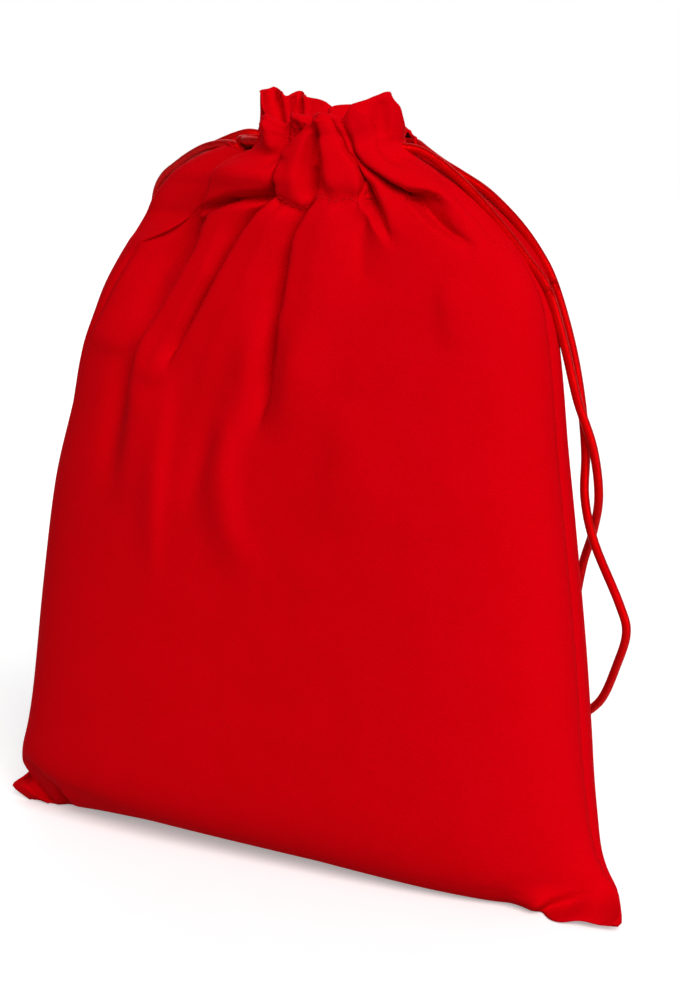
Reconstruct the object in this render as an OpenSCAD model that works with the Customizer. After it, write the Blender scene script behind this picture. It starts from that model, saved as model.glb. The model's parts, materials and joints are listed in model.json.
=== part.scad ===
// Velvet drawstring pouch, standing filled, with its neck drawn up by two cords.
// Front is -Y, up is +Z, the base rests on z = 0. Units are millimetres.

/* [Bag] */
// width between the tips of the two bottom corners
bag_w = 246; // [160:2:320]
// thickness of the filled bag, front to back
bag_d = 60; // [30:2:100]
// height from the base to the top of the ruffle
bag_h = 263; // [180:1:360]
// thickness of one ply of velvet
cloth_t = 1.2; // [0.8:0.1:2]
// width of the seam allowances turned to the inside
seam_allowance = 8; // [4:1:15]

/* [Neck] */
// height where the side seams end and the two flaps part
slit_z = 214; // [190:1:240]
// clearance between a flap and the panel under it
flap_gap = 0.4; // [0.3:0.1:1]
// number of pleats across the front
front_pleats = 4.5; // [2:0.5:8]
// number of pleats across the back
back_pleats = 5; // [2:0.5:8]
// scale of the pleat depth
pleat_scale = 1; // [0:0.1:1.5]
// width of the cord tunnel between the two plies of a flap
tunnel_w = 8; // [6:0.5:10]

/* [Cords] */
// diameter of the satin cord
cord_d = 3; // [2:0.5:3.5]
// height of the middle of the cord tunnel
cord_z = 244; // [240:1:246]
// height between the two cords in the tunnel
cord_pitch = 4.4; // [4:0.1:5]
// diameter of the knot that joins two cord ends
knot_d = 8; // [6:0.5:10]

/* [Detail] */
// columns of faces across one panel
columns = 32; // [16:4:48]
// sides of a cord
cord_sides = 8; // [6:2:12]

/* [Hidden] */
$fn = 24;

velvet = [0.72, 0.02, 0.05];
satin = [0.80, 0.06, 0.05];
front = -1;
back = 1;
drawn_w = 246;
drawn_d = 60;
drawn_h = 263;
kx = bag_w / drawn_w;
ky = bag_d / drawn_d;
kz = bag_h / drawn_h;

// half widths to the right and left side seams, over the height
right_edge = [
    [0, 115], [4, 123], [10, 121], [18, 117.5], [30, 114.5], [44, 112], [86, 108], [125, 103], [150, 99.5],
    [175, 97], [195, 94], [205, 90], [214, 84], [221, 77], [226, 71], [231, 65], [237, 54],
    [241, 47], [248, 44], [263, 45]
];
left_edge = [
    [0, 115], [4, 123], [10, 121], [18, 117.5], [30, 114], [44, 110], [86, 103.5], [125, 98], [150, 89.5],
    [175, 81.5], [195, 73.5], [205, 68], [214, 61.5], [221, 54], [226, 47], [231, 40], [237, 29],
    [241, 23], [248, 20], [263, 21]
];
// half thickness, and how square the cross-section is
half_depth = [
    [0, 17], [4, 21.5], [10, 25], [18, 27.5], [30, 29], [60, 30], [125, 30], [160, 28], [195, 25.5],
    [214, 23.5], [231, 22], [241, 20.5], [248, 20], [263, 21]
];
squareness = [[0, 3], [24, 2.8], [195, 2.6], [214, 2.4], [263, 2.3]];
// reach of the pinched corner beyond the filled body
corner_reach = [[0, 20], [4, 22], [10, 15], [18, 8.5], [30, 4], [44, 1.5], [60, 0]];
// depth of the pleats, deepest at the stitch row and at the ruffle
pleat_depth = [
    [125, 0], [150, 0.6], [175, 1.6], [195, 2.6], [205, 3.2], [214, 3.8], [231, 4.6], [237, 3], [241, 1.5],
    [248, 1.5], [253, 2.6], [263, 4.5]
];
// share of the width that each side slit takes from a flap
slit_share = [[214, 0.02], [226, 0.06], [237, 0.11], [250, 0.12], [263, 0.10]];
// space between the two plies of a flap, as a share of the tunnel width
tunnel_share = [[231, 0.01], [237, 0.8], [241, 1], [248, 1], [253, 0.7], [259, 0.01]];

panel_rows = [4, 10, 18, 30, 44, 86, 125, 150, 175, 195, 205, slit_z - flap_gap / 2];
flap_rows = [slit_z + flap_gap / 2, 221, 226, 231, 237, 241, 248, 253, 259, 263];
hem_rows = [231, 237, 241, 248, 253, 259];
stitch_z = 231;
thread_d = 0.7;
// the base narrows toward the bottom seam: depth share and side inset of each row
base_rows = [[0, 3], [0.5, 1.5], [1, 0]];
upper_cord_z = cord_z + cord_pitch / 2;
lower_cord_z = cord_z - cord_pitch / 2;

function mid_x(z) = kx * (lookup(z, right_edge) - lookup(z, left_edge)) / 2;
function half_w(z) = kx * (lookup(z, right_edge) + lookup(z, left_edge)) / 2;
function half_d(z) = ky * lookup(z, half_depth);
function signed_pow(v, p) = sign(v) * pow(abs(v), p);

// pleats across one side: f runs from 0 at the left seam to 1 at the right seam
function pleat_wave(f, side) =
    let (count = side == front ? front_pleats : back_pleats)
    let (shift = side == front ? 0.1 : 0.35)
    sin(360 * (count * f + shift + 0.1 * sin(360 * f))) * pow(max(sin(180 * f), 0), 0.6);

// the ruffle's top edge falls away from one corner
function ruffle(f, side) = 1 - (side == front ? 0.5 * pow(1 - f, 0.6) : 0.33 * pow(f, 0.8));
function cloth_z(z, f, side) = z <= 248 ? z : 248 + (z - 248) * ruffle(f, side);

// a point of the cloth at height z, set in by off from the outer face
function cloth_point(f, z, side, off, wave = 1) =
    let (turn = 180 * (1 - f), c = cos(turn), s = sin(turn), p = 2 / lookup(z, squareness))
    let (reach = kx * lookup(z, corner_reach))
    let (a = half_w(z) - reach - off, b = half_d(z) - off)
    let (pinch = pow(abs(c), 20), tip = reach * (off > 0 ? 0.3 : 1) * pinch)
    let (fold = wave * pleat_scale * lookup(z, pleat_depth) * pleat_wave(f, side))
    let (n = [c * b, s * a], slope = fold / norm(n))
    [
        mid_x(z) + a * signed_pow(c, p) + tip * sign(c) + slope * n[0],
        side * (b * signed_pow(s, p) * (1 - 0.034 * reach * pinch) + slope * n[1]) + 0,
        kz * cloth_z(z, f, side)
    ];

function base_point(f, row, side, off) =
    let (p = cloth_point(f, 0, side, off))
    [p[0] - row[1] * cos(180 * (1 - f)), p[1] * row[0] + 0, off];

function flap_f(k, z) =
    let (cut = lookup(z, slit_share))
    cut + (1 - 2 * cut) * k / columns;

function panel_grid(side, off) = concat(
    [for (row = base_rows) [for (k = [0:columns]) base_point(k / columns, row, side, off)]],
    [for (z = panel_rows) [for (k = [0:columns]) cloth_point(k / columns, z, side, off)]]
);
function flap_grid(side, off) =
    [for (z = flap_rows) [for (k = [0:columns]) cloth_point(flap_f(k, z), z, side, off)]];
function hem_grid(side, extra) = [
    for (z = hem_rows)
        let (off = cloth_t + tunnel_w * lookup(z, tunnel_share) + extra)
        [for (k = [0:columns]) cloth_point(flap_f(k, z), z, side, off)]
];

// a closed sheet between an outer and an inner grid of points
module sheet(outer, inner, side) {
    rows = len(outer);
    cols = len(outer[0]);
    points = [for (grid = [outer, inner]) for (row = grid) for (p = row) p];
    function at(g, r, c) = g * rows * cols + r * cols + c;
    // the split of each square is mirrored on the right half, so no corner folds flat
    function split(q, c) = c < (cols - 1) / 2 ? q : [q[1], q[2], q[3], q[0]];
    faces4 = concat(
        [for (r = [0:rows - 2]) for (c = [0:cols - 2])
            split([at(0, r, c), at(0, r, c + 1), at(0, r + 1, c + 1), at(0, r + 1, c)], c)],
        [for (r = [0:rows - 2]) for (c = [0:cols - 2])
            split([at(1, r, c), at(1, r + 1, c), at(1, r + 1, c + 1), at(1, r, c + 1)], c)],
        [for (c = [0:cols - 2]) [at(0, 0, c + 1), at(0, 0, c), at(1, 0, c), at(1, 0, c + 1)]],
        [for (c = [0:cols - 2])
            [at(0, rows - 1, c), at(0, rows - 1, c + 1), at(1, rows - 1, c + 1), at(1, rows - 1, c)]],
        [for (r = [0:rows - 2]) [at(0, r, 0), at(0, r + 1, 0), at(1, r + 1, 0), at(1, r, 0)]],
        [for (r = [0:rows - 2])
            [at(0, r + 1, cols - 1), at(0, r, cols - 1), at(1, r, cols - 1), at(1, r + 1, cols - 1)]]
    );
    faces3 = [for (q = faces4) each [[q[0], q[1], q[2]], [q[0], q[2], q[3]]]];
    turned = [for (t = faces3) side == front ? [t[2], t[1], t[0]] : t];
    polyhedron(points, turned, convexity = 10);
}

// points of a smooth curve through the route, some to each stretch
function curve(route, steps) = concat(
    [for (i = [0:len(route) - 2]) for (k = [0:steps - 1])
        let (p0 = route[max(i - 1, 0)], p1 = route[i])
        let (p2 = route[i + 1], p3 = route[min(i + 2, len(route) - 1)], t = k / steps)
        p1 + 0.5 * t * ((p2 - p0) + t * ((2 * p0 - 5 * p1 + 4 * p2 - p3)
            + t * (3 * (p1 - p2) + p3 - p0)))],
    [route[len(route) - 1]]
);
function unit(v) = v / norm(v);
function heading(path, i) = unit(path[min(i + 1, len(path) - 1)] - path[max(i - 1, 0)]);
function headings(path, first, last) = [
    for (i = [0:len(path) - 1])
        i == 0 && !is_undef(first) ? unit(first) :
        i == len(path) - 1 && !is_undef(last) ? unit(last) : heading(path, i)
];
function carry(hs, i) =
    let (h = hs[i])
    let (before = i == 0 ? (abs(h[2]) < 0.9 ? [0, 0, 1] : [0, 1, 0]) : carry(hs, i - 1))
    unit(before - (before * h) * h);

// a round cord along a path of points, cut square to the headings first and last if they are given
module tube(path, d, sides, first = undef, last = undef) {
    n = len(path);
    hs = headings(path, first, last);
    points = [
        for (i = [0:n - 1])
            let (h = hs[i], u = carry(hs, i), v = cross(h, u))
            for (k = [0:sides - 1])
                path[i] + d / 2 * (cos(360 * k / sides) * u + sin(360 * k / sides) * v)
    ];
    wall = [for (i = [0:n - 2]) for (k = [0:sides - 1])
        let (m = (k + 1) % sides)
        each [
            [i * sides + k, (i + 1) * sides + k, (i + 1) * sides + m],
            [i * sides + k, (i + 1) * sides + m, i * sides + m]
        ]];
    ends = [
        for (k = [1:sides - 2]) each [
            [0, k, k + 1],
            [(n - 1) * sides, (n - 1) * sides + k + 1, (n - 1) * sides + k]
        ]
    ];
    polyhedron(points, concat(wall, ends), convexity = 6);
}

// the cord's way through one flap, midway between its two plies
function run_path(side, z) =
    let (cut = lookup(cord_z, slit_share), off = cloth_t + tunnel_w / 2)
    [for (k = [0:10])
        let (p = cloth_point(cut + (1 - 2 * cut) * k / 10, cord_z, side, off, 0))
        [p[0], p[1], kz * z]];
// where a run ends, and which way the cord points as it leaves there: end is 0 at the left, 10 at the right
function run_end(side, end, z) = run_path(side, z)[end];
function run_way(side, end) =
    unit(run_path(side, cord_z)[end] - run_path(side, cord_z)[end == 0 ? 1 : 9]);
// clearance between two lengths of cord that meet end to end
cut_gap = 0.4;
function leave(side, end, z) = run_end(side, end, z) + cut_gap * run_way(side, end);

// routes of the loose cords, from where they leave the flap to where the tail hangs free
left_front_route = [
    leave(front, 0, lower_cord_z), [-22, -5, 243], [-32, -3.5, 242.8],
    [-44, -1, 239.5], [-55, 4, 233], [-62.5, 9, 224], [-66.5, 14, 214], [-67.5, 18, 203]
];
left_back_route = [
    leave(back, 0, lower_cord_z), [-22, 6, 243.3], [-31, 6.5, 244.3],
    [-42, 8, 240.5], [-51.5, 10.5, 234], [-58, 14.5, 226], [-62, 18.5, 215.5], [-63, 21.5, 203]
];
right_front_route = [
    leave(front, 10, upper_cord_z), [44.5, -5, 246], [51, -4, 244.5],
    [58, -3.5, 240.5], [68.5, -2.5, 232.5], [79, -2, 223.5], [89, -1, 212], [95.5, 2, 201]
];
right_back_route = [
    leave(back, 10, upper_cord_z), [44.5, 5, 246.5], [51, 4.5, 245],
    [59, 4.5, 241], [70, 4.5, 233.3], [80.5, 6, 225], [89, 8, 213.5], [94, 11, 201.5]
];
// tails, from the end of the loose cord to the knot behind the bag
left_knot_at = [-65.5, 32.5, 54];
right_knot_at = [88, 33.5, 50];
left_front_tail_route = [
    [-67.5, 18, 203], [-68, 21.5, 188], [-68, 25, 165], [-67.8, 28.5, 130], [-67.5, 30, 95],
    [-67.3, 31, 62]
];
left_back_tail_route = [
    [-63, 21.5, 203], [-63.5, 24, 188], [-63.5, 27, 165], [-63.5, 29.5, 130], [-63.5, 30.5, 95],
    [-63.7, 31, 62]
];
right_front_tail_route = [
    [95.5, 2, 201], [98.5, 6, 184], [101.5, 10, 166], [105, 14, 150], [105.5, 18, 134],
    [101.5, 23, 121], [96, 27, 108], [92.5, 28, 90], [89.8, 31, 72], [88.8, 33, 57.5]
];
right_back_tail_route = [
    [94, 11, 201.5], [97.5, 14, 184], [100.3, 15.5, 166], [101.2, 16.5, 148], [101, 17, 133],
    [104.3, 18, 118], [113, 20, 98.5], [115.2, 21.5, 88.5], [111.5, 25, 76.5], [104, 29.5, 62.5],
    [94, 33, 54.5]
];

module seam_strip(side, edge) {
    zs = [46, 86, 125, 150, 175, 195, 205, 212];
    inset = cloth_t + 0.3;
    grid = [
        for (w = [inset, inset + seam_allowance])
            [for (z = zs) [for (y = [-cloth_t, cloth_t])
                [side * (kx * (lookup(z, edge) - lookup(z, corner_reach)) - w), y, kz * z]]]
    ];
    sheet(grid[0], grid[1], side > 0 ? front : back);
}

module front_panel() { color(velvet) sheet(panel_grid(front, 0), panel_grid(front, cloth_t), front); }
module back_panel() { color(velvet) sheet(panel_grid(back, 0), panel_grid(back, cloth_t), back); }
module left_seam() { color(velvet) seam_strip(-1, left_edge); }
module right_seam() { color(velvet) seam_strip(1, right_edge); }
module bottom_seam() {
    color(velvet)
        translate([-kx * 98, -cloth_t, cloth_t + 0.05])
            cube([kx * 196, 2 * cloth_t, seam_allowance]);
}

module flap(side) { color(velvet) sheet(flap_grid(side, 0), flap_grid(side, cloth_t), side); }
module hem(side) { color(velvet) sheet(hem_grid(side, 0), hem_grid(side, cloth_t), side); }
module thread(side) {
    color(satin)
        tube([for (k = [1:columns - 1])
            cloth_point(flap_f(k, stitch_z), stitch_z, side, -thread_d / 2 - 0.5)], thread_d, 5);
}
module front_flap() { flap(front); }
module front_hem() { hem(front); }
module front_thread() { thread(front); }
module back_flap() { flap(back); }
module back_hem() { hem(back); }
module back_thread() { thread(back); }

module run(side, z) { color(satin) tube(run_path(side, z), cord_d, cord_sides); }
module bight(end, z) {
    start = leave(front, end, z);
    out = end == 0 ? -1 : 1;
    x = run_end(front, end, z)[0];
    color(satin)
        tube(curve([
            start, [x + out * 4.5, -4.6, kz * z], [x + out * 7, 0, kz * z],
            [x + out * 4.5, 4.6, kz * z], [start[0], -start[1], start[2]]
        ], 2), cord_d, cord_sides, run_way(front, end), -run_way(back, end));
}
module left_cord_front_run() { run(front, lower_cord_z); }
module left_cord_back_run() { run(back, lower_cord_z); }
module left_cord_bight() { bight(10, lower_cord_z); }
module right_cord_front_run() { run(front, upper_cord_z); }
module right_cord_back_run() { run(back, upper_cord_z); }
module right_cord_bight() { bight(0, upper_cord_z); }

// the loose cord and its tail are cut square to one heading where they meet
function meet_way(route, tail) = unit(tail[1] - route[len(route) - 2]);
module strand(route, tail, side, end) {
    color(satin)
        tube(curve(route, 2), cord_d, cord_sides, run_way(side, end), meet_way(route, tail));
}
module tail(route, tail) {
    way = meet_way(route, tail);
    path = curve([for (i = [0:len(tail) - 1]) i == 0 ? tail[0] + cut_gap * way : tail[i]], 2);
    color(satin) tube(path, cord_d, cord_sides, way);
}
module left_front_strand() { strand(left_front_route, left_front_tail_route, front, 0); }
module left_back_strand() { strand(left_back_route, left_back_tail_route, back, 0); }
module right_front_strand() { strand(right_front_route, right_front_tail_route, front, 10); }
module right_back_strand() { strand(right_back_route, right_back_tail_route, back, 10); }
module left_front_tail() { tail(left_front_route, left_front_tail_route); }
module left_back_tail() { tail(left_back_route, left_back_tail_route); }
module right_front_tail() { tail(right_front_route, right_front_tail_route); }
module right_back_tail() { tail(right_back_route, right_back_tail_route); }

// an overhand knot with the two cut ends below it
module knot(at) {
    color(satin)
        translate(at) {
            scale([0.8, 0.75, 0.95]) sphere(d = knot_d);
            for (x = [-1, 1])
                rotate([0, x * 14, 0])
                    translate([x * cord_d * 0.45, 0, -knot_d / 2 - 9])
                        cylinder(d = cord_d, h = knot_d / 2 + 8);
        }
}
module left_knot() { knot(left_knot_at); }
module right_knot() { knot(right_knot_at); }

front_panel();
back_panel();
left_seam();
right_seam();
bottom_seam();
front_flap();
front_hem();
front_thread();
back_flap();
back_hem();
back_thread();
left_cord_front_run();
left_cord_back_run();
left_cord_bight();
right_cord_front_run();
right_cord_back_run();
right_cord_bight();
left_front_strand();
left_back_strand();
right_front_strand();
right_back_strand();
left_front_tail();
left_back_tail();
left_knot();
right_front_tail();
right_back_tail();
right_knot();
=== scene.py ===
"""Velvet drawstring pouch. Tables and routes are in millimetres, meshes are in metres."""
import json
import math

import bpy
import numpy as np
from mathutils import Vector
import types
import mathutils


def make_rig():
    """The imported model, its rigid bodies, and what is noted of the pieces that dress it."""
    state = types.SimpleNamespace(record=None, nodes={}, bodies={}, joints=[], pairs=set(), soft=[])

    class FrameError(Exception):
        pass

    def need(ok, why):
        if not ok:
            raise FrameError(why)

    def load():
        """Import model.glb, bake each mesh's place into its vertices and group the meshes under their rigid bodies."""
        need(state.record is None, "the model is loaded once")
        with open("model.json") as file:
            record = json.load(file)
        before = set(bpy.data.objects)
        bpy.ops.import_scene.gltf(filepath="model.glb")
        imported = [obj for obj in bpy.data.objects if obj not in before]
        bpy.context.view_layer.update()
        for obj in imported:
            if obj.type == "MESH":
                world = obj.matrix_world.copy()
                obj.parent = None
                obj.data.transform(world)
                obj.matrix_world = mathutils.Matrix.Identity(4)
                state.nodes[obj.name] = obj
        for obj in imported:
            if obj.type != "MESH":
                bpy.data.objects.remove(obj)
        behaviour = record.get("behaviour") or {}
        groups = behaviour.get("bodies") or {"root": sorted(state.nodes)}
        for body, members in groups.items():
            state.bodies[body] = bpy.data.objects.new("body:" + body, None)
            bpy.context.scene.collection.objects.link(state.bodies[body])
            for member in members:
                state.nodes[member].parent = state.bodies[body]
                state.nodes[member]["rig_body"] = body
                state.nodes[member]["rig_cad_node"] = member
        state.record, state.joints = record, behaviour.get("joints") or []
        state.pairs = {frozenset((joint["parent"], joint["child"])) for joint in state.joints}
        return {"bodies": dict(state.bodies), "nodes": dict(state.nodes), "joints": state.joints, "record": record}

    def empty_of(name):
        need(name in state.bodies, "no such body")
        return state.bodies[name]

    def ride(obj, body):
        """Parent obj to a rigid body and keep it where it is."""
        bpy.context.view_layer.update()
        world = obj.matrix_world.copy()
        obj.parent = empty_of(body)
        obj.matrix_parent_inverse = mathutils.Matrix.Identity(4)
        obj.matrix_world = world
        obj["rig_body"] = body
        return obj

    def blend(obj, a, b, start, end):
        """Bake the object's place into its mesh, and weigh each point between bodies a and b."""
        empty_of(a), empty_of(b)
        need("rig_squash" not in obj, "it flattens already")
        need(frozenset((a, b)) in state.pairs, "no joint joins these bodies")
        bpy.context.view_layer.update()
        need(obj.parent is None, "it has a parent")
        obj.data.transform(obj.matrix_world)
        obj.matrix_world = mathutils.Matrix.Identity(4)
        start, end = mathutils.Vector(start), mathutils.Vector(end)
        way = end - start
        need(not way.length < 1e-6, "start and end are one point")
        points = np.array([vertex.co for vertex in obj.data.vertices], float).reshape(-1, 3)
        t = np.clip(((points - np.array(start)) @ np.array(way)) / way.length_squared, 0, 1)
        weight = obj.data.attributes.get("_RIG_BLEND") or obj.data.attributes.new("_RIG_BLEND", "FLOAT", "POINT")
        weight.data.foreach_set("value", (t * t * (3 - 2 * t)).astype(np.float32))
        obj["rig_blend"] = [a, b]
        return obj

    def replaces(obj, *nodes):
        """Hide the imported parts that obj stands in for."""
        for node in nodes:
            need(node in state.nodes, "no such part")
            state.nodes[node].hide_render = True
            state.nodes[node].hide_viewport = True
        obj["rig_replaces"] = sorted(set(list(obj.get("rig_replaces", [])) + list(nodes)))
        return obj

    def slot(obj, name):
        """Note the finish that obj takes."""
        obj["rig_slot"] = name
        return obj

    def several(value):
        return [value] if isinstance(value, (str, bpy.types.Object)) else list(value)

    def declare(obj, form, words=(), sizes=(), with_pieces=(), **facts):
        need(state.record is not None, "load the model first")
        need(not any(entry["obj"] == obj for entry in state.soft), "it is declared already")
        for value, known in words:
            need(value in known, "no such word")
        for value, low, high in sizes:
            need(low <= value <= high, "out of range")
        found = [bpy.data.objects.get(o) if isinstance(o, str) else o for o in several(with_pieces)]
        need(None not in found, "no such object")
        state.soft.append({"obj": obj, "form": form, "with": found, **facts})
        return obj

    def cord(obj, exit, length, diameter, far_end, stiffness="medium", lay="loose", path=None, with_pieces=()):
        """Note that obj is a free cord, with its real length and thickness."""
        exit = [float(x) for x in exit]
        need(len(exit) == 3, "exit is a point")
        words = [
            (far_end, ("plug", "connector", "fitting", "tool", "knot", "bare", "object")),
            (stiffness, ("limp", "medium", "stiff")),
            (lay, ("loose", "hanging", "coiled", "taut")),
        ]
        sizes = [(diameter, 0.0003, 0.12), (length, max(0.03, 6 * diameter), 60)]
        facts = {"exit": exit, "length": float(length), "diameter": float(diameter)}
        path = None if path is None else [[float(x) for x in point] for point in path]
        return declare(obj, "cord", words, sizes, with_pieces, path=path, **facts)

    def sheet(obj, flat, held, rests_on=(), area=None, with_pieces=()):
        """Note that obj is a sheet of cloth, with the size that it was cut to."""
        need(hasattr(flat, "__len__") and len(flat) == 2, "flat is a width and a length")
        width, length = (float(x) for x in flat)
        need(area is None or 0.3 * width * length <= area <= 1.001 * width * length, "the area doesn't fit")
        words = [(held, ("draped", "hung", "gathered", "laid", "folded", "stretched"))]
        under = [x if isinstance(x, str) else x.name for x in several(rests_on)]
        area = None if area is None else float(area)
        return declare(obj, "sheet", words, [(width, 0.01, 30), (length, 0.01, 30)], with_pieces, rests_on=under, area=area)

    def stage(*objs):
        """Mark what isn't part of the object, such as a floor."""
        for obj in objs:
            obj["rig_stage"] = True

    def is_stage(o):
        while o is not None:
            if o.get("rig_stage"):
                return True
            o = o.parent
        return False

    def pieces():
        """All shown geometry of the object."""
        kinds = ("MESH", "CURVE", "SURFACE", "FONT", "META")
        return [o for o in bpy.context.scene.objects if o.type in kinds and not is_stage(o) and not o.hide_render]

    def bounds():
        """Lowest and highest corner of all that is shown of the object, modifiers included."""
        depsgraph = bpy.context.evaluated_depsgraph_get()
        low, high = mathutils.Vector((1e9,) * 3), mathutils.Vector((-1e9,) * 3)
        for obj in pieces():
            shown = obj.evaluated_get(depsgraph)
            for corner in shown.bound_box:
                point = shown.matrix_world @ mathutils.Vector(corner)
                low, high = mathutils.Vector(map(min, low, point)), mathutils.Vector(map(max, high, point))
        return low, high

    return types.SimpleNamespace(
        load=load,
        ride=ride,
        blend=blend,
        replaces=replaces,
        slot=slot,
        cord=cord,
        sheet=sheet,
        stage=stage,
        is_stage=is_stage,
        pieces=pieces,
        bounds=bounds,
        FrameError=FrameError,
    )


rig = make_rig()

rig.load()
cad_box = [list(corner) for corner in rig.bounds()]
scene = bpy.context.scene
MM = 0.001
FRONT, BACK = -1, 1
SIDES = ((FRONT, "front"), (BACK, "back"))
# heights of the side seams' ends, the ruffle's foot and the topmost row
SLIT_Z, RUFFLE_Z, TOP_Z = 212.0, 248.0, 263.0

# Shape of the filled bag over its height, close to part.scad
RIGHT_EDGE = [
    (0, 116.5), (4, 125.4), (8, 123.8), (12, 120), (18, 116.6), (30, 114.1), (44, 112), (86, 108), (125, 103.5),
    (150, 100.5), (175, 98), (195, 95), (205, 91.6), (214, 85.8), (221, 77), (226, 71), (231, 65), (237, 55.5),
    (241, 50), (244, 47.5), (248, 44.5), (263, 45),
]
LEFT_EDGE = [
    (0, 115), (4, 124), (8, 119.4), (11, 116.5), (18, 115), (30, 111.8), (44, 108.8), (86, 102.6), (125, 95.8),
    (150, 89), (175, 82.7), (185, 78.5), (195, 74), (205, 68), (214, 61.6), (221, 55.6), (226, 51.8), (231, 47),
    (237, 38.6), (241, 30.4), (243, 24.6), (244, 21.7), (248, 20), (263, 21),
]
# the back flap spreads further over both shoulders
BACK_RIGHT_EDGE = [row for row in RIGHT_EDGE if row[0] <= 214] + [
    (221, 79.5), (226, 74.5), (231, 68.5), (237, 58.5), (241, 51), (244, 47.5), (248, 45.4), (263, 43.4),
]
BACK_LEFT_EDGE = [row for row in LEFT_EDGE if row[0] <= 214] + [
    (221, 57), (226, 54.4), (231, 50), (237, 41.8), (241, 34.2), (244, 26.5), (248, 20.4), (263, 22.2),
]
EDGES = {FRONT: (LEFT_EDGE, RIGHT_EDGE), BACK: (BACK_LEFT_EDGE, BACK_RIGHT_EDGE)}
HALF_DEPTH = [
    (0, 17), (4, 21.5), (10, 25), (18, 27.5), (30, 29), (60, 30), (125, 30), (160, 28), (195, 25.5),
    (214, 23.5), (231, 22), (241, 20.5), (248, 20), (263, 21),
]
SQUARENESS = [(0, 3), (24, 2.8), (195, 2.6), (214, 2.4), (263, 2.3)]
# squarer at the right of the back flap
BACK_SQUARENESS = [
    (0, 3), (24, 2.8), (185, 2.6), (200, 2.85), (212, 3.2), (220, 3.5), (232, 3.5), (242, 2.5), (263, 2.3),
]
# how far the bottom seam's pinched corners stand out
CORNER_REACH = {
    "left": [(0, 20), (4, 21), (8, 9), (11, 2), (18, 1), (30, 0.5), (44, 0), (263, 0)],
    "right": [(0, 20), (4, 22), (8, 16), (12, 9.5), (18, 5.5), (30, 2.5), (44, 1), (60, 0), (263, 0)],
}
# their sharpness, and how much they flatten per millimetre of reach
PINCH_POWER, PINCH_FLAT = 20, 0.034
COLUMNS, FINE_POINTS = 240, 1200
SHARES = np.linspace(0, 1, COLUMNS + 1)


def at(z, rows):
    """Straight-line reading of a table."""
    rows = np.array(rows, float)
    return np.interp(z, rows[:, 0], rows[:, 1])


def smooth(z, rows):
    """Smooth reading of a table that never overshoots its points."""
    rows = np.array(rows, float)
    x, y = rows[:, 0], rows[:, 1]
    h, d = np.diff(x), np.diff(y) / np.diff(x)
    m = np.zeros(len(x))
    m[0], m[-1] = d[0], d[-1]
    same = d[:-1] * d[1:] > 0
    w1, w2 = 2 * h[1:] + h[:-1], h[1:] + 2 * h[:-1]
    safe = np.where(same, d[:-1], 1.0), np.where(same, d[1:], 1.0)
    m[1:-1] = np.where(same, (w1 + w2) / (w1 / safe[0] + w2 / safe[1]), 0.0)
    z = np.clip(z, x[0], x[-1])
    i = np.clip(np.searchsorted(x, z) - 1, 0, len(h) - 1)
    t = (z - x[i]) / h[i]
    return (
        (1 + 2 * t) * (1 - t) ** 2 * y[i] + t * (1 - t) ** 2 * h[i] * m[i]
        + t * t * (3 - 2 * t) * y[i + 1] + t * t * (t - 1) * h[i] * m[i + 1]
    )


def signed_pow(v, p):
    return np.sign(v) * np.abs(v) ** p


def fade(v, start, end):
    """0 up to start, 1 from end on, and straight between."""
    return np.clip((v - start) / (end - start), 0, 1)


def ease(t):
    """Slow start and slow end between 0 and 1."""
    return t * t * (3 - 2 * t)


def bell(v, width):
    return np.exp(-((v / width) ** 2))


def run_along(line):
    """Length along a line at each of its points."""
    return np.concatenate([[0], np.cumsum(np.linalg.norm(np.diff(line, axis=0), axis=1))])


def ring_point(turn, z, side, off, read, edges=EDGES[FRONT]):
    """A point of the plain bag at a turn from the right seam (0) to the left seam (pi)."""
    c, s = np.cos(turn), np.sin(turn)
    far = BACK_SQUARENESS if edges is EDGES[BACK] else SQUARENESS
    p = 2 / np.where(c > 0, read(z, far), read(z, SQUARENESS))
    reach = np.where(c > 0, read(z, CORNER_REACH["right"]), read(z, CORNER_REACH["left"]))
    left, right = read(z, edges[0]), read(z, edges[1])
    a = (right + left) / 2 - reach - off
    b = read(z, HALF_DEPTH) - off
    pinch = np.abs(c) ** PINCH_POWER
    x = (right - left) / 2 + a * signed_pow(c, p) + reach * pinch * np.sign(c)
    y = side * b * signed_pow(s, p) * (1 - PINCH_FLAT * reach * pinch)
    return x, y


# Meshes: cord length per unit of texture, and how blunt a rounded end is
TEXTURE_RUN, BLUNT = 10, 0.15


def add_object(name, data):
    obj = bpy.data.objects.new(name, data)
    scene.collection.objects.link(obj)
    return obj


def mesh_object(name, material, points, faces, uv=None):
    mesh = bpy.data.meshes.new(name)
    mesh.from_pydata([tuple(p) for p in np.asarray(points, float) * MM], [], faces)
    mesh.polygons.foreach_set("use_smooth", [len(face) == 4 for face in faces])
    if uv is not None:
        layer = mesh.uv_layers.new(name="along")
        loops = np.zeros(len(mesh.loops), int)
        mesh.loops.foreach_get("vertex_index", loops)
        layer.data.foreach_set("uv", np.asarray(uv, float)[loops].astype(np.float32).ravel())
    mesh.materials.append(material)
    return add_object(name, mesh)


def grid_faces(rows, cols, flip=False, wrap=False):
    faces = []
    for r in range(rows - 1):
        for c in range(cols if wrap else cols - 1):
            d = (c + 1) % cols
            quad = (r * cols + c, r * cols + d, (r + 1) * cols + d, (r + 1) * cols + c)
            faces.append(quad[::-1] if flip else quad)
    return faces


def capped_faces(rows, sides, base=0):
    """Faces of a flat-ended tube whose points start at base."""
    ends = [tuple(range(sides))[::-1], tuple((rows - 1) * sides + k for k in range(sides))]
    return [tuple(base + i for i in face) for face in grid_faces(rows, sides, wrap=True) + ends]


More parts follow.
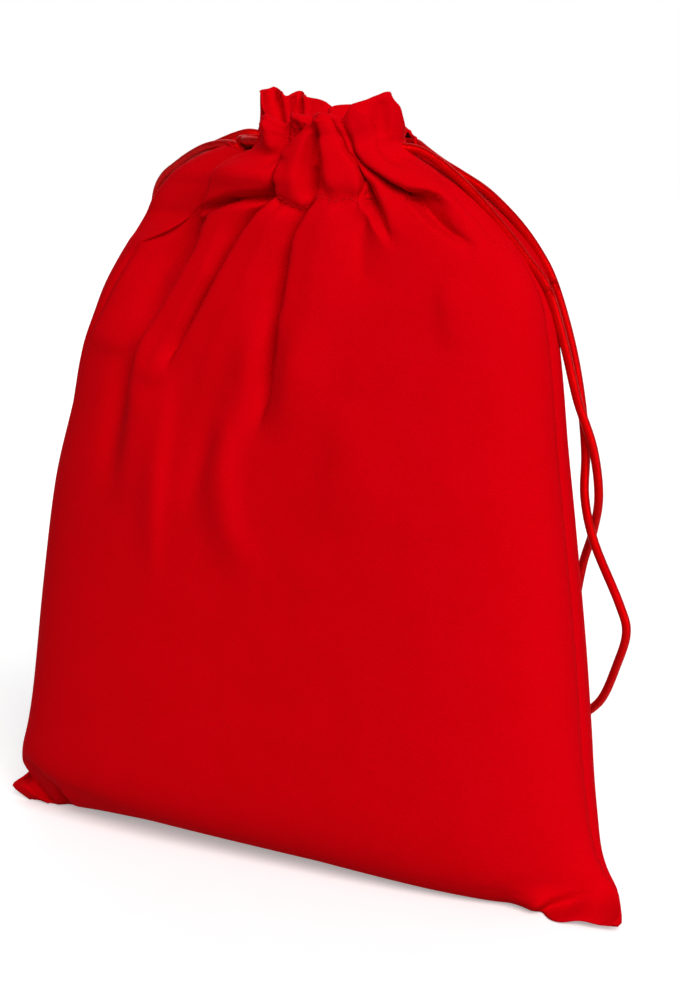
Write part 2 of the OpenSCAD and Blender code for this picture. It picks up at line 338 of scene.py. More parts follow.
def curve(route, steps):
    """Points of a smooth curve through the route."""
    route = [np.array(p, float) for p in route]
    line = []
    for i in range(len(route) - 1):
        p0, p1 = route[max(i - 1, 0)], route[i]
        p2, p3 = route[i + 1], route[min(i + 2, len(route) - 1)]
        for k in range(steps):
            t = k / steps
            bend, twist = 2 * p0 - 5 * p1 + 4 * p2 - p3, 3 * (p1 - p2) + p3 - p0
            line.append(p1 + 0.5 * t * ((p2 - p0) + t * (bend + t * twist)))
    return np.array(line + [route[-1]])


def tube_parts(line, d, sides, base=0, round_ends=0.0):
    """Points, faces and texture coordinates of a round cord along a line."""
    way = np.gradient(line, axis=0)
    way /= np.linalg.norm(way, axis=1)[:, None]
    run = run_along(line)
    u = np.array((0, 1.0, 0) if abs(way[0][2]) >= 0.9 else (0, 0, 1.0))
    points, uv = [], []
    for i, h in enumerate(way):
        u = u - (u @ h) * h
        u = u / np.linalg.norm(u)
        v = np.cross(h, u)
        r, end = d / 2, min(run[i], run[-1] - run[i])
        if end < round_ends:
            r *= math.sqrt(max(1 - (1 - end / round_ends) ** 2, BLUNT))
        for k in range(sides):
            a = 2 * math.pi * k / sides
            points.append(line[i] + r * (math.cos(a) * u + math.sin(a) * v))
            uv.append((run[i] / TEXTURE_RUN, k / sides))
    return points, capped_faces(len(line), sides, base), uv


def join(parts, more):
    return [a + b for a, b in zip(parts, more)]


# Materials: colours from the dark to the light end of the grain; the velvet's last colour is a painted sheen, a
# lighter red mixed into its base colour where the cloth turns away from view
VELVET, VELVET_PAINTED_SHEEN = ((0.585, 0.0, 0.003), (0.615, 0.0, 0.0038)), (0.78, 0.002, 0.008, 1)
SATIN = (0.56, 0.0, 0.0015), (0.66, 0.001, 0.002)
THREAD = (0.54, 0.0, 0.004), (0.68, 0.006, 0.008)


class Tree:
    """A node tree; what adds a node gives back its outputs."""

    def __init__(self, owner):
        owner.use_nodes = True
        self.nodes, self.links = owner.node_tree.nodes, owner.node_tree.links

    def set(self, node, values):
        """Sets a node's inputs, or links them to other outputs."""
        for key, value in values.items():
            if isinstance(value, bpy.types.NodeSocket):
                self.links.new(value, node.inputs[key])
            else:
                node.inputs[key].default_value = value
        return node.outputs

    def new(self, kind):
        return self.nodes.new("ShaderNode" + kind)

    def add(self, kind, **values):
        return self.set(self.new(kind), values)

    def noise(self, coords, **values):
        return self.add("TexNoise", Vector=coords, **values)["Fac"]

    def ramp(self, value, places, colours):
        """Runs between two colours as the value goes between two places."""
        node = self.new("ValToRGB")
        for element, place, colour in zip(node.color_ramp.elements, places, colours):
            element.position = place
            element.color = (*colour, 1)
        return self.set(node, {"Fac": value})["Color"]

    def mix(self, kind, factor, a, b):
        node = self.new("Mix")
        node.data_type, node.blend_type = "RGBA", kind
        return self.set(node, {0: factor, 6: a, 7: b})[2]

    def math(self, kind, a, b):
        node = self.new("Math")
        node.operation = kind
        return self.set(node, {0: a, 1: b})[0]

    def bump(self, height, **values):
        return self.add("Bump", Height=height, **values)["Normal"]


def new_material(name):
    material = bpy.data.materials.new(name)
    tree = Tree(material)
    return material, tree, tree.nodes["Principled BSDF"]


def greys(*values):
    return [(v, v, v) for v in values]


def make_velvet():
    material, tree, shader = new_material("velvet_pile")
    coords = tree.add("TexCoord")["Object"]
    nap = tree.noise(coords, Scale=75, Detail=3, Roughness=0.55)
    soft = tree.noise(coords, Scale=420, Detail=2)
    fibre = tree.noise(coords, Scale=2600, Detail=2, Roughness=0.6)
    pile = tree.ramp(fibre, (0.3, 0.7), greys(0.9, 1.06))
    colour = tree.mix("MULTIPLY", 1.0, tree.ramp(nap, (0.3, 0.7), VELVET), pile)
    # painted sheen: the base colour runs toward a lighter red where the surface turns away from view, standing in for
    # the velvet's sheen at grazing angles
    facing = tree.add("LayerWeight", Blend=0.28)["Facing"]
    painted_sheen_mask = tree.ramp(facing, (0.45, 0.95), greys(0, 0.4))
    low = tree.bump(soft, Strength=0.25, Distance=0.0003)
    tree.set(shader, {
        "Base Color": tree.mix("MIX", painted_sheen_mask, colour, VELVET_PAINTED_SHEEN),
        "Roughness": tree.ramp(nap, (0.3, 0.7), greys(0.82, 0.95)),
        "Specular IOR Level": 0.03, "Specular Tint": (1, 0.08, 0.08, 1),
        "Sheen Weight": 0.1, "Sheen Roughness": 0.45, "Sheen Tint": (1, 0.01, 0.02, 1),
        "Normal": tree.bump(fibre, Strength=0.35, Distance=0.00012, Normal=low),
    })
    return material


def make_satin():
    material, tree, shader = new_material("satin_cord_weave")
    coords = tree.add("TexCoord")
    slant = (0, 0, math.radians(32))
    slanted = tree.add("Mapping", Vector=coords["UV"], Scale=(9, 5, 1), Rotation=slant)["Vector"]
    weave = tree.add("TexWave", Vector=slanted, Scale=1.6, Distortion=1.2, Detail=2)["Fac"]
    patch = tree.noise(coords["Object"], Scale=130, Detail=2)
    lines = tree.ramp(weave, (0.1, 0.8), greys(0.8, 1.06))
    tree.set(shader, {
        "Base Color": tree.mix("MULTIPLY", 1.0, tree.ramp(patch, (0.3, 0.7), SATIN), lines),
        "Roughness": tree.ramp(weave, (0.0, 1.0), greys(0.42, 0.3)),
        "Metallic": 0.45, "Specular IOR Level": 0.05, "Specular Tint": (1, 0.03, 0.02, 1),
        "Normal": tree.bump(weave, Strength=0.45, Distance=0.00018),
    })
    return material


def make_thread():
    material, tree, shader = new_material("sewing_thread")
    twist = tree.new("TexWave")
    twist.bands_direction = "DIAGONAL"
    ply = tree.set(twist, {"Vector": tree.add("TexCoord")["UV"], "Scale": 14})["Fac"]
    tree.set(shader, {
        "Base Color": tree.ramp(ply, (0.2, 0.8), THREAD),
        "Roughness": 0.7, "Specular IOR Level": 0.1, "Specular Tint": (1, 0.1, 0.1, 1),
        "Normal": tree.bump(ply, Strength=0.5, Distance=0.0001),
    })
    return material


velvet, satin, thread = make_velvet(), make_satin(), make_thread()

# Camera
AZIMUTH, ELEVATION, DISTANCE = math.radians(31), math.radians(11), 0.82195
TARGET = Vector((0.018373, 0, 0.126677))
SENSOR, FOCAL_PIXELS, LONG_SIDE = 36, 2440, 1000


def place_camera():
    back = Vector((
        math.sin(AZIMUTH) * math.cos(ELEVATION),
        -math.cos(AZIMUTH) * math.cos(ELEVATION),
        math.sin(ELEVATION),
    ))
    lens = bpy.data.cameras.new("camera")
    lens.sensor_width = SENSOR
    lens.lens = SENSOR * FOCAL_PIXELS / LONG_SIDE
    lens.clip_start = 0.01
    scene.camera = camera = add_object("camera", lens)
    camera.location = TARGET + back * DISTANCE
    camera.rotation_euler = (-back).to_track_quat("-Z", "Y").to_euler()


place_camera()

# Cords: runs in the tunnels, bights, loose strands and tails, close to part.scad
CORD_D, CORD_SIDES, CORD_STEPS = 3.0, 16, 6
CORD_Z = {"left": 241.8, "right": 246.2}
RUN_Z, RUN_INSET, RUN_STEPS = 244.0, 5.2, 10
# share of the turn left out at a run's ends, and the gap to the strand
RUN_CUT, EXIT_GAP = at(RUN_Z, [(237, 0.11), (250, 0.12)]), 0.4
# a bight's points, as how far out and how far to its side
BIGHT, BIGHT_STEPS = [(2.6, 4.6), (4.2, 0), (2.6, -4.6)], 8


def run_path(side, z):
    """A cord's line in a flap's tunnel, from left to right."""
    f = RUN_CUT + (1 - 2 * RUN_CUT) * np.arange(RUN_STEPS + 1) / RUN_STEPS
    x, y = ring_point(math.pi * (1 - f), RUN_Z, side, RUN_INSET, at)
    return np.stack([x, y, np.full_like(x, z)], axis=1)


def leave(side, end, z):
    """Where a cord leaves a flap: end is 0 at the left, RUN_STEPS at the right."""
    line = run_path(side, z)
    way = line[end] - line[1 if end == 0 else end - 1]
    return line[end] + EXIT_GAP * way / np.linalg.norm(way)


STRANDS = {
    ("left", "front"): [
        (-18.5, -6, 244.2), (-25, -2.5, 244.6), (-34.8, 1, 243.2), (-43.8, 4.5, 240.1), (-52.5, 8, 236),
        (-59.8, 11, 231.9), (-65.9, 15, 225.6), (-68.7, 18, 215.8), (-68.3, 19.5, 203),
    ],
    ("left", "back"): [
        (-17.5, 7.8, 246.8), (-22, 7.8, 247.9), (-27, 8, 246.9), (-32.5, 8.5, 245.1), (-40, 10.5, 242.5),
        (-48.5, 12.5, 239.1), (-56.2, 15.5, 234.5), (-61.8, 19, 227.5), (-64, 22, 216), (-63.5, 23, 203),
    ],
    ("right", "front"): [
        (44.7, -5.5, 245.4), (50.8, -4.5, 244.4), (58, -3.5, 240.5), (68.6, -2.5, 231.9), (79, -2, 221.5),
        (87.8, -1, 211.2), (94, 2, 201.3),
    ],
    ("right", "back"): [
        (44.5, 5, 246), (49, 3, 243.9), (54.8, 3, 240.3), (61, 4, 236.8), (70.4, 5, 231.2), (80, 6.5, 222.4),
        (86.9, 8.5, 213), (91.6, 11, 202.6),
    ],
}
# each tail goes on from its strand's last point
TAILS = {
    ("left", "front"): [(-68.3, 22, 188), (-68, 25, 165), (-67.8, 28.5, 130), (-67.5, 30, 95), (-67.3, 31, 62)],
    ("left", "back"): [
        (-63.5, 24.5, 188), (-63.5, 27, 165), (-63.5, 29.5, 130), (-63.5, 30.5, 95), (-63.7, 31, 62),
    ],
    ("right", "front"): [
        (98, 6, 184), (101, 10, 166), (105, 14, 150), (105.5, 18, 134), (101.5, 23, 121), (96, 27, 108),
        (92.5, 28, 90), (89.8, 31, 72), (88.8, 33, 57.5),
    ],
    ("right", "back"): [
        (96.4, 14, 184), (99.6, 15.5, 166), (101.2, 16.5, 148), (101, 17, 133), (104.3, 18, 118),
        (112.6, 20, 98.5), (114.8, 21.5, 88.5), (110, 25, 76), (102.8, 29.5, 62.5), (94, 33, 54.5),
    ],
}
KNOTS = {"left": (-65.5, 32.5, 54), "right": (88, 33.5, 50)}
# a knot's loop, how thin its cord is pulled, and the route of a cut end
KNOT_SIZE, KNOT_CORD, KNOT_SIDES, KNOT_POINTS = np.array((0.966, 1.25, 1.1875)), 0.9, 14, 73
KNOT_END = [(0.8, 0.3, -1.5), (2.0, 0.2, -5), (3.1, 0, -9), (3.9, -0.2, -12.6)]


def make_knot(hand):
    """An overhand knot of two cords, pulled tight, with two short cut ends."""
    middle = np.array(KNOTS[hand])
    t = np.linspace(0, 2 * math.pi, KNOT_POINTS)
    loop = np.stack([np.sin(t) + 2 * np.sin(2 * t), -np.sin(3 * t), np.cos(t) - 2 * np.cos(2 * t)], axis=1)
    parts = tube_parts(middle + KNOT_SIZE * loop, CORD_D * KNOT_CORD, KNOT_SIDES)
    for sign in (-1, 1):
        end = curve([middle + (sign * x, sign * y, z) for x, y, z in KNOT_END], CORD_STEPS)
        parts = join(parts, tube_parts(end, CORD_D, KNOT_SIDES, len(parts[0])))
    knot = mesh_object(f"knot_{hand}", satin, *parts)
    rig.ride(knot, f"{hand}_tails")
    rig.replaces(knot, f"{hand}_knot")
    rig.slot(knot, "satin_cord")
    return knot


def cord_piece(name, line, node):
    """A cord along a line, in place of a node."""
    piece = mesh_object(name, satin, *tube_parts(line, CORD_D, CORD_SIDES))
    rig.replaces(piece, node)
    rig.slot(piece, "satin_cord")
    return piece


def free_cord(piece, line, bodies, **facts):
    """A loose cord that bends between two bodies."""
    first, last = tuple(line[0] * MM), tuple(line[-1] * MM)
    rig.blend(piece, *bodies, first, last)
    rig.cord(
        piece, exit=first, length=float(run_along(line)[-1]) * MM, diameter=CORD_D * MM,
        stiffness="limp", path=[tuple(p * MM) for p in line], **facts,
    )


def make_cords():
    for hand, end in (("left", 0), ("right", RUN_STEPS)):
        z = CORD_Z[hand]
        far, out = RUN_STEPS - end, 1 if end == 0 else -1
        knot = make_knot(hand)
        for side, name in SIDES:
            flap = f"{name}_flap"
            inside = run_path(side, z)
            run = cord_piece(f"run_{hand}_{name}", inside, f"{hand}_cord_{name}_run")
            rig.ride(run, flap)

            route = [leave(side, end, z)] + STRANDS[hand, name]
            whole, joint = curve(route + TAILS[hand, name], CORD_STEPS), CORD_STEPS * (len(route) - 1)
            line = whole[: joint + 1]
            strand = cord_piece(f"strand_{hand}_{name}", line, f"{hand}_{name}_strand")
            free_cord(strand, line, (flap, "pouch"), far_end="object", lay="loose")

            line = whole[joint:]
            tail = cord_piece(f"tail_{hand}_{name}", line, f"{hand}_{name}_tail")
            free_cord(tail, line, ("pouch", f"{hand}_tails"), far_end="knot", lay="hanging", with_pieces=[knot])

            x = inside[far][0]
            route = [leave(side, far, z)] + [(x + out * reach, side * across, z) for reach, across in BIGHT]
            half = curve(route, BIGHT_STEPS)[: 2 * BIGHT_STEPS + 1]
            bight = cord_piece(f"bight_{hand}_{name}", half, f"{hand}_cord_bight")
            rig.blend(bight, flap, "pouch", tuple(half[0] * MM), tuple(half[-1] * MM))


make_cords()

# Cloth: each side's folds are held along lines and drawn tight between them
# share of the turn that a side loses at its left (0) and right (1) edge, or gains below zero
CUTS = {
    (FRONT, 0): [
        (0, 0), (50, 0), (100, 0.03), (140, 0.07), (165, 0.11), (190, 0.16), (205, 0.178), (212, 0.196),
        (218, 0.213), (222, 0.233), (226, 0.262), (230, 0.289), (234, 0.308), (241, 0.314), (244, 0.32),
        (248, 0.345), (263, 0.36),
    ],
    (FRONT, 1): [
        (0, 0), (195, 0), (205, 0.006), (212, 0.03), (222, 0.072), (230, 0.055), (236, 0.02), (241, 0.01),
        (245, 0.02), (251, 0.018), (257, 0.06), (263, 0.115),
    ],
    (BACK, 0): [
        (212, -0.196), (216, -0.25), (222, -0.29), (230, -0.345), (236, -0.37), (241, -0.36), (243, -0.29),
        (244.5, -0.12), (246, 0.02), (248, 0.09), (250, 0.11), (263, 0.14),
    ],
    (BACK, 1): [
        (212, -0.03), (216, -0.07), (222, -0.1), (230, -0.09), (236, -0.06), (241, -0.03), (246, 0.03),
        (250, 0.06), (263, 0.11),
    ],
}
# a line that the columns keep to at the neck: its x, and the share of columns left of it
CORE, CORE_FADE = {FRONT: (9.0, 0.3), BACK: (-16.0, 0.4)}, (205, 236)


def cut(side, end, z):
    if side == BACK and z <= SLIT_Z:
        return -smooth(z, CUTS[FRONT, end])
    return smooth(z, CUTS[side, end])


def plain_row(z, side):
    """Points across the plain bag from left to right, their turns and their run."""
    turn = np.linspace(math.pi * (1 - cut(side, 0, z)), math.pi * cut(side, 1, z), FINE_POINTS)
    x, y = ring_point(turn, z, side, 0.0, smooth, EDGES[side])
    return x, y, turn, run_along(np.stack([x, y], axis=1))


def ring_row(z, side):
    """The same for the grid's columns, which keep to the core line at the neck."""
    x, y, turn, run = plain_row(z, side)
    place, share = CORE[side]
    far = np.argmin(x)
    core = np.interp(place, x[far:], run[far:]) / run[-1]
    middle = share + (core - share) * ease(fade(z, *CORE_FADE))
    f = np.interp(SHARES, (0, share, 1), (0, middle, 1)) * run[-1]
    return np.interp(f, run, x), np.interp(f, run, y), np.interp(f, run, turn), f


class Line:
    """Heights held along a line: points are (x, z, height) or (x, z, height before, height after).

    Before and after are left and right, or below and above where level is set. Both are held at a gap from
    the line, and the higher one leans out over the lower by lip times their difference.
    """

    SPACING = 0.35

    def __init__(self, *points, level=False, gap=0.8, lip=0.0):
        self.points = np.array([p if len(p) == 4 else (*p, p[2]) for p in points], float)
        self.level, self.gap, self.lip = level, gap, lip

    def samples(self):
        """Points close along the line, and the way across at each."""
        p = self.points
        run = run_along(p[:, :2])
        s = np.linspace(0, run[-1], max(int(run[-1] / self.SPACING), 2))
        fine = np.stack([np.interp(s, run, p[:, i]) for i in range(4)], axis=1)
        way = np.gradient(fine[:, :2], axis=0)
        way /= np.linalg.norm(way, axis=1)[:, None]
        after = np.stack([-way[:, 1], way[:, 0]], axis=1)
        after *= np.sign(after[:, 1 if self.level else 0])[:, None]
        return fine, after


FRONT_LINES = [
    # first puffed pleat of the casing: left side, crown and slit to the second
    Line((23.1, 255.2, 0.3, 1.5), (21.6, 254, -0.4, 2), (18.6, 251.2, -1.4, 2.6), (14.1, 248, -2, 3.2),
         (11.1, 244.2, -2.6, 3.8), (9.4, 239.5, -3, 4.4), (9, 235.8, -3.4, 4.6), (10.4, 230.2, -2.4, 3),
         lip=0.3),
    Line((20.6, 253, 2.6), (17.4, 246, 4.8), (14.9, 239, 6), (14.8, 234.5, 6), (15.6, 230.5, 4.2)),
    Line((21.6, 253, -1), (21.1, 248.8, -4), (20.4, 243.2, -4), (20.3, 238, -4.5), (21.1, 232.8, -3.5),
         (21.7, 228.6, -2.5), gap=0.2),
    # second puffed pleat: crown and right side
    Line((23.8, 253.8, 2.4), (24.4, 247, 4.4), (26.6, 241, 5.6), (28.4, 236, 6), (29, 232.5, 5)),
    Line((26.1, 254.5, 1.6, 0), (28.1, 249.2, 2.6, -0.8), (31, 243.5, 3.6, -1.6), (34, 240, 4.2, -2.6),
         (35.9, 236.2, 4.6, -3.6), (36.5, 233.2, 4.2, -4.2), (36, 230.4, 3, -4), lip=0.3),
    # narrow pleat, then the broad flap at the right with its soft hollow
    Line((28.8, 253.5, 1.2), (31.2, 247.8, 1.4), (33.6, 242.5, 1.2), (37.3, 239, 1), (39.5, 236.5, 0.2)),
    Line((31.4, 254, -0.4, 2.2), (33.2, 249.2, -1.4, 2.8), (35.4, 244, -2, 3.2), (38.2, 240.5, -2.4, 3.4),
         (42.4, 238, -3, 3.4), (48.5, 234.5, -3.6, 3.2), (53.2, 232.2, -5, 2.6), lip=0.3),
    Line((35.7, 256.2, 3), (37.2, 248.8, 3.4), (39.7, 242, 4), (44.2, 239, 4), (49.5, 237.3, 3.8)),
    Line((40, 259, 0.4), (40.1, 254, 0), (40.1, 249.5, 0.8)),
    Line((43, 261.5, 2.6), (42.9, 254, 2.4), (42.6, 248.5, 2.2)),
    Line((40.4, 246.6, 1.2), (42.6, 244, 0), (45, 242.2, -1), (47, 241.2, -0.4)),
    # pocket under the flap's end, the shoulder ridge and the dart
    Line((53.2, 232.2, -5, 2.6), (56, 231.8, -5, 2.8), (59, 231.2, -3.6, 2.6), (62.5, 229.8, -1.6, 1.4),
         level=True),
    Line((47.2, 240.2, 3.4), (51.4, 238.5, 3.8), (57.6, 235, 4), (66.5, 228.8, 3.6), (72.2, 222.5, 2.8),
         (75.4, 218, 1.8), (79, 210, 0.5)),
    Line((53.4, 230.6, 0.2, -5), (58.1, 225.5, 1, -4.2), (62.9, 221.5, 1.2, -3.2), (68.4, 218, 0.8, -1.8),
         (72.9, 216.5, 0.3, -0.3)),
    Line((36.6, 235, 3, -4.2), (37.6, 231.2, 2, -4.6), (41.1, 226.8, 2.6, -4.4), (43.7, 223.5, 2, -3),
         (46.5, 219.5, 1.2, -1.2), (48.6, 215.5, 0.4, 0.3)),
    Line((41, 236.3, -0.8), (44.3, 231.5, 0.6), (48.4, 225.8, 1.2), (50.1, 220.8, 1)),
    # undersides of the puffed pleats at the stitch row
    Line((10.4, 229.4, -1.6, 2.4), (13.5, 227.4, -0.6, 2.8), (18.2, 226.2, -1, 2.4), (21.4, 227.8, -2.6, 0.6),
         level=True, gap=1.1),
    Line((21.7, 228.2, -1.8, 0.8), (24.5, 230.2, 1.2, 2.4), (27.7, 229.6, 2.4, 2.6), (30.1, 228.6, 2.4, 2.6),
         (33.5, 229.6, 1.2, 2.6), (35, 230.2, 0.6, 2.2), level=True, gap=1.1),
    Line((28.4, 233.4, 4), (27.6, 231.2, 1.8), (27, 229.4, 0.8)),
    Line((-24, 223.6, -2.4, -0.5), (-20, 226, -3.4, 1), (-11, 228.4, -4.2, 2), (-4.2, 229.4, -4.4, 2.4),
         (2.7, 230, -4.4, 2.2), (5.2, 231.4, -4, 1), level=True),
    # puffed left end of the casing
    Line((-16, 236.5, 2.8), (-9, 237.4, 5.4), (-2, 236.6, 6), (4, 236.3, 4.6)),
    Line((-14.5, 241.5, -2, 1.2), (-16.9, 238.2, -3, 2), (-18.8, 233.3, -3.6, 2), (-22.2, 226.7, -3.6, 0.4),
         (-26, 221, -3.4, -0.4), lip=0.25),
    Line((10.6, 242, 2, -2), (9.1, 239.5, 2.8, -3), (7.9, 235.8, 3.4, -3.6), (5.9, 232.2, 3, -3.8)),
    Line((-9, 242.6, -0.4), (0, 242, -0.2), (5, 241.4, -0.6), (9.5, 242.4, -1.6)),
    # ruffle at the left: a broad pleat and two small ones
    Line((2.4, 253, 2.4), (4.2, 248.5, 3.8), (5, 245, 2.6)),
    Line((11.6, 255.2, -2), (11.2, 251, -2.6), (10.7, 246.8, -2.6), (10.2, 243.8, -2.6)),
    Line((13.3, 255, 1.2), (12.6, 250, 1), (11.9, 247, 0.4)),
    Line((15, 253.2, -1.4), (13.9, 249.5, -1.6), (12.6, 246.2, -2)),
    Line((17.4, 253.8, 1.4), (16, 251, 1.2)),
    # first fold down the front
    Line((23, 228.2, -2, 2.6), (20.2, 222.2, -3.2, 4.4), (17.4, 215.8, -3.8, 5.2), (16.3, 206.2, -3.9, 5.4),
         (15.6, 199.8, -3.7, 5.2), (12.6, 188, -3.4, 4.8), (11, 177, -3, 3.8), (8.4, 164, -1, 1.4),
         (4, 153, 0, 0.2), lip=0.25),
    Line((29.1, 226, 4.2), (25.8, 219.8, 5.2), (23.9, 211.8, 5.4), (23.4, 201.2, 5), (22, 188, 4.2),
         (18, 172, 2.6), (12, 156, 0.6)),
    Line((41.7, 226, 0), (39.9, 221.5, -0.6), (39.5, 215, -0.6), (40.9, 208.8, -0.2), (43.5, 204.4, 0.2),
         (50, 203.6, 0.1), (55.3, 204, 0.1)),
    # second fold
    Line((9.3, 230.4, -2.4, 1.6), (2.8, 224.2, -3.2, 4), (-3.3, 216, -4, 5), (-9.3, 206.5, -4.1, 5.2),
         (-15, 197.5, -3.8, 4.8), (-25, 181.5, -2.6, 3.6), (-30, 175.5, -0.8, 1.6), lip=0.25),
    Line((11.6, 225, 2.4), (7.6, 220.5, 4.4), (3.4, 213.5, 4.8), (-0.7, 205.2, 4.6), (-8, 192, 3.8),
         (-15, 180, 2.6), (-20, 168, 1)),
    # third fold, and the hollow between it and the slit
    Line((-19.5, 222.5, -3.8, 1.8), (-23.5, 209, -5.2, 3.6), (-34.5, 192, -4.8, 4), (-43.5, 179, -3.2, 3.2),
         (-46, 173, -1.4, 2), (-52, 154.5, -0.2, 0.3), lip=0.25),
    Line((-12, 224.5, 1.8), (-15, 216, 2.6), (-19, 204, 3.4), (-28, 190, 3.2), (-36, 178, 2.2),
         (-41, 165, 0.8)),
    Line((-18, 224, 1, -3.4), (-11, 226.6, 1.8, -5), (-4, 227.6, 2.2, -5), (1.8, 227.4, 1.2, -4.6), level=True),
    Line((-31, 221, -4.6), (-36, 210, -5.4), (-45, 197, -4.6), (-53, 185, -2.2)),
]
# long soft folds of the front: points (x, z, height), then the widths before and after them
SOFT_FOLDS = [
    ((-43, 178, 1), (-44.9, 162.5, 2.4), (-46.6, 149.8, 2.2), (-51, 122, 0.2), 6, 9),
    ((-51.5, 174, -0.6), (-54.5, 162, -2.2), (-57, 145, -1.6), (-59, 126, -0.1), 6, 5),
    ((-32.2, 166, 0.6), (-35.5, 139, 2), (-37.5, 118, 1.4), (-39, 98, 0.1), 7, 3.2),
    ((-13, 158, -0.3), (-16, 147, -1.5), (-20, 137, -1.4), (-25, 122, -0.1), 5, 5),
    ((-7, 160, 0.4), (-8.2, 150, 1.8), (-8.8, 136.5, 2.4), (-6, 119, 1.8), (4, 106, 0.3), 8, 5),
    ((5.5, 190, 0.8), (1.5, 176, 3), (-2.5, 161, 1.6), (-5, 152, 0.4), 7, 4),
    ((12.6, 192, -0.4), (9.5, 177, -2.2), (6, 163, -1.2), (3, 152, -0.1), 4, 4),
    ((21, 190, 0.3), (18, 175, 2), (14.5, 162, 1.3), (11, 150, 0.1), 5, 10),
    ((-73.8, 178.8, 0.6), (-60.3, 177, 1.3), (-48.9, 180.6, 1.2), (-42.2, 186, 0.3), 3, 8),
    ((-44.5, 172, 0.4), (-38.9, 168.8, 1.1), (-30.4, 171.4, 1.1), (-24.2, 177, 0.2), 3, 7),
    ((70, 206, 0.2), (71, 197, 1.5), (73.4, 183, 0.2), 4, 9),
    ((39, 166, 0.2), (37.6, 150, 1.5), (35.2, 123, 0.2), 8, 14),
]
BACK_LINES = [
    Line((-14, 231, 1, -2.4), (-30, 205, 0.8, -2.2), (-38, 165, 0, 0)),
    Line((-20, 230, 2.6), (-36, 204, 2.6), (-44, 168, 0.6)),
    Line((7, 231, 2.4, -2.4), (2, 205, 2.4, -2), (-4, 160, 0, 0)),
    Line((1, 230, 3), (-6, 205, 3), (-13, 166, 0.8)),
    Line((25, 231, -2.4, 2.4), (32, 205, -2, 2.4), (38, 160, 0, 0)),
    Line((31, 230, 3), (40, 205, 3), (47, 166, 0.8)),
    Line((43, 231, -2.4, 2), (58, 208, -2, 2), (66, 175, 0, 0)),
    Line((-21, 262, -0.5), (-19, 252, -0.5), (-17, 244, 0)),
    Line((-16.5, 263, 3), (-15, 255, 2.4), (-13, 246, 1.6), (-15, 236, 2.4)),
    Line((-13.2, 263, -4.2), (-11.5, 256, -3.6), (-10, 246, -2), (-10, 236, -2)),
    Line((-9, 262, 3.2), (-8, 255, 2.4), (-6, 246, 1.4), (-6, 236, 2.6)),
    Line((-5, 262, -3), (-4, 256, -3), (-2, 246, -2), (-2, 236, -2)),
    Line((0.5, 260, 3.2), (1.5, 255, 2.6), (3, 246, 1.4), (3, 236, 2.8)),
    Line((5, 257, -3.6), (6, 252, -3), (8, 246, -2), (9, 236, -2.4)),
    Line((10.5, 258, 2.4), (11.5, 253, 2.4), (13, 246, 1.4), (15, 236, 2.8)),
    Line((19, 257, -2.8), (20, 252, -2.6), (20, 246, -2), (22, 236, -2.4)),
    Line((27, 256, 2), (27, 252, 2), (28, 246, 1.4), (31, 236, 2.8)),
    Line((34, 254, -2), (34, 250, -2), (35, 246, -2), (40, 236, -2.4)),
]
# height of the top edge over x
TOP_EDGE = {
    FRONT: [
        (-3.9, 252.2), (-0.6, 253.8), (3.2, 254.4), (9.3, 251.2), (12.6, 255.2), (16.4, 254.6), (20.8, 254.2),
        (25.2, 255.4), (29, 254.6), (32.1, 253.2), (33.4, 254.2), (34.4, 256.6), (35.2, 257.9), (39.6, 259.4),
        (42.4, 261), (43.2, 261.8), (44.1, 261.8), (44.4, 261.4),
    ],
    BACK: [
        (-20, 261), (-17, 261.4), (-15.3, 262.5), (-12.6, 258.5), (-8.8, 261.2), (-5.2, 259), (-2.5, 258.6),
        (0, 257.4), (1.6, 255.6), (4, 255), (7.5, 256.4), (14, 256.4), (25, 255.6), (33, 253.4), (37.8, 251),
        (42, 249.2),
    ],
}
# the casing stands proud, except at its ends and at the cords
PUFF = [(0, 0), (200, 0), (222, 0.4), (231, 0), (236, 0.8), (243, 0.2), (250, 0), (256, 0.6), (263, 0.8)]
PUFF_EDGE = 8
# gap between the plies, its least, and the inner ply's share of the folds
GAP = [(229, 2.3), (231, 2.6), (237, 8.0), (241, 9.6), (248, 9.6), (253, 6.8), (259, 3.2), (263, 2.6)]
LEAST_GAP = 2.2
INNER_FOLDS = [(246, 0.55), (256, 1.1)]
# valleys are deeper at the neck, and stay off the cords
DEEPEN = [(0, 1), (150, 1), (200, 1.4), (234, 1.5), (240, 1), (250, 1), (256, 1.4), (263, 1.4)]
DEEPEST = [
    (0, -8), (200, -8), (215, -10), (234, -10), (236, -8), (239.5, -2.7), (249, -2.7), (252, -4), (263, -4),
]
# grid rows: shares of the way from the bottom seam, then heights
BASE_SHARES = (0.0, 0.2, 0.4, 0.6, 0.8)
HEIGHTS = np.concatenate([
    [0.0, 0.7, 1.6, 2.6, 3.7, 4.9, 6.2, 7.5, 8.8, 10.2, 11.7, 13.3, 15, 18, 21], np.arange(24, 150, 3.0),
    np.arange(150, 203.9, 1.8), np.arange(204, 230.5, 1.0), np.linspace(231, 263, 65),
])
# the lines' pull, the length over which folds go flat, and the solver's limits
HOLD, SLACK, SOLVE_STEPS, SOLVED = 60.0, 24.0, 900, 1e-7
# no folds are held below this height, and edges are held above the slit
PLAIN_BELOW, EDGE_DEEP, LEFT_DEEP, EDGE_RISE = 100, -0.5, -4.5, 10
CROWN = 7
RELAX_TIMES, RELAX_RATE, RELAX_MOST = 8, 0.024, 0.24
# a leaning crown's place and width, and how far it goes past its line
LEAN_AT, LEAN_WIDTH, LEAN_BELOW, LEAN_ABOVE, LEAN_EDGE = 1.0, 1.7, 4, 2, 6


def row_place(z):
    return np.interp(z, HEIGHTS, np.arange(len(HEIGHTS)))


def near_row(z):
    return int(round(row_place(z)))


def between(rows, z):
    """Values at height z between two rows."""
    place = row_place(z)
    a, t = int(place), place - int(place)
    return rows[a] * (1 - t) + rows[min(a + 1, len(HEIGHTS) - 1)] * t


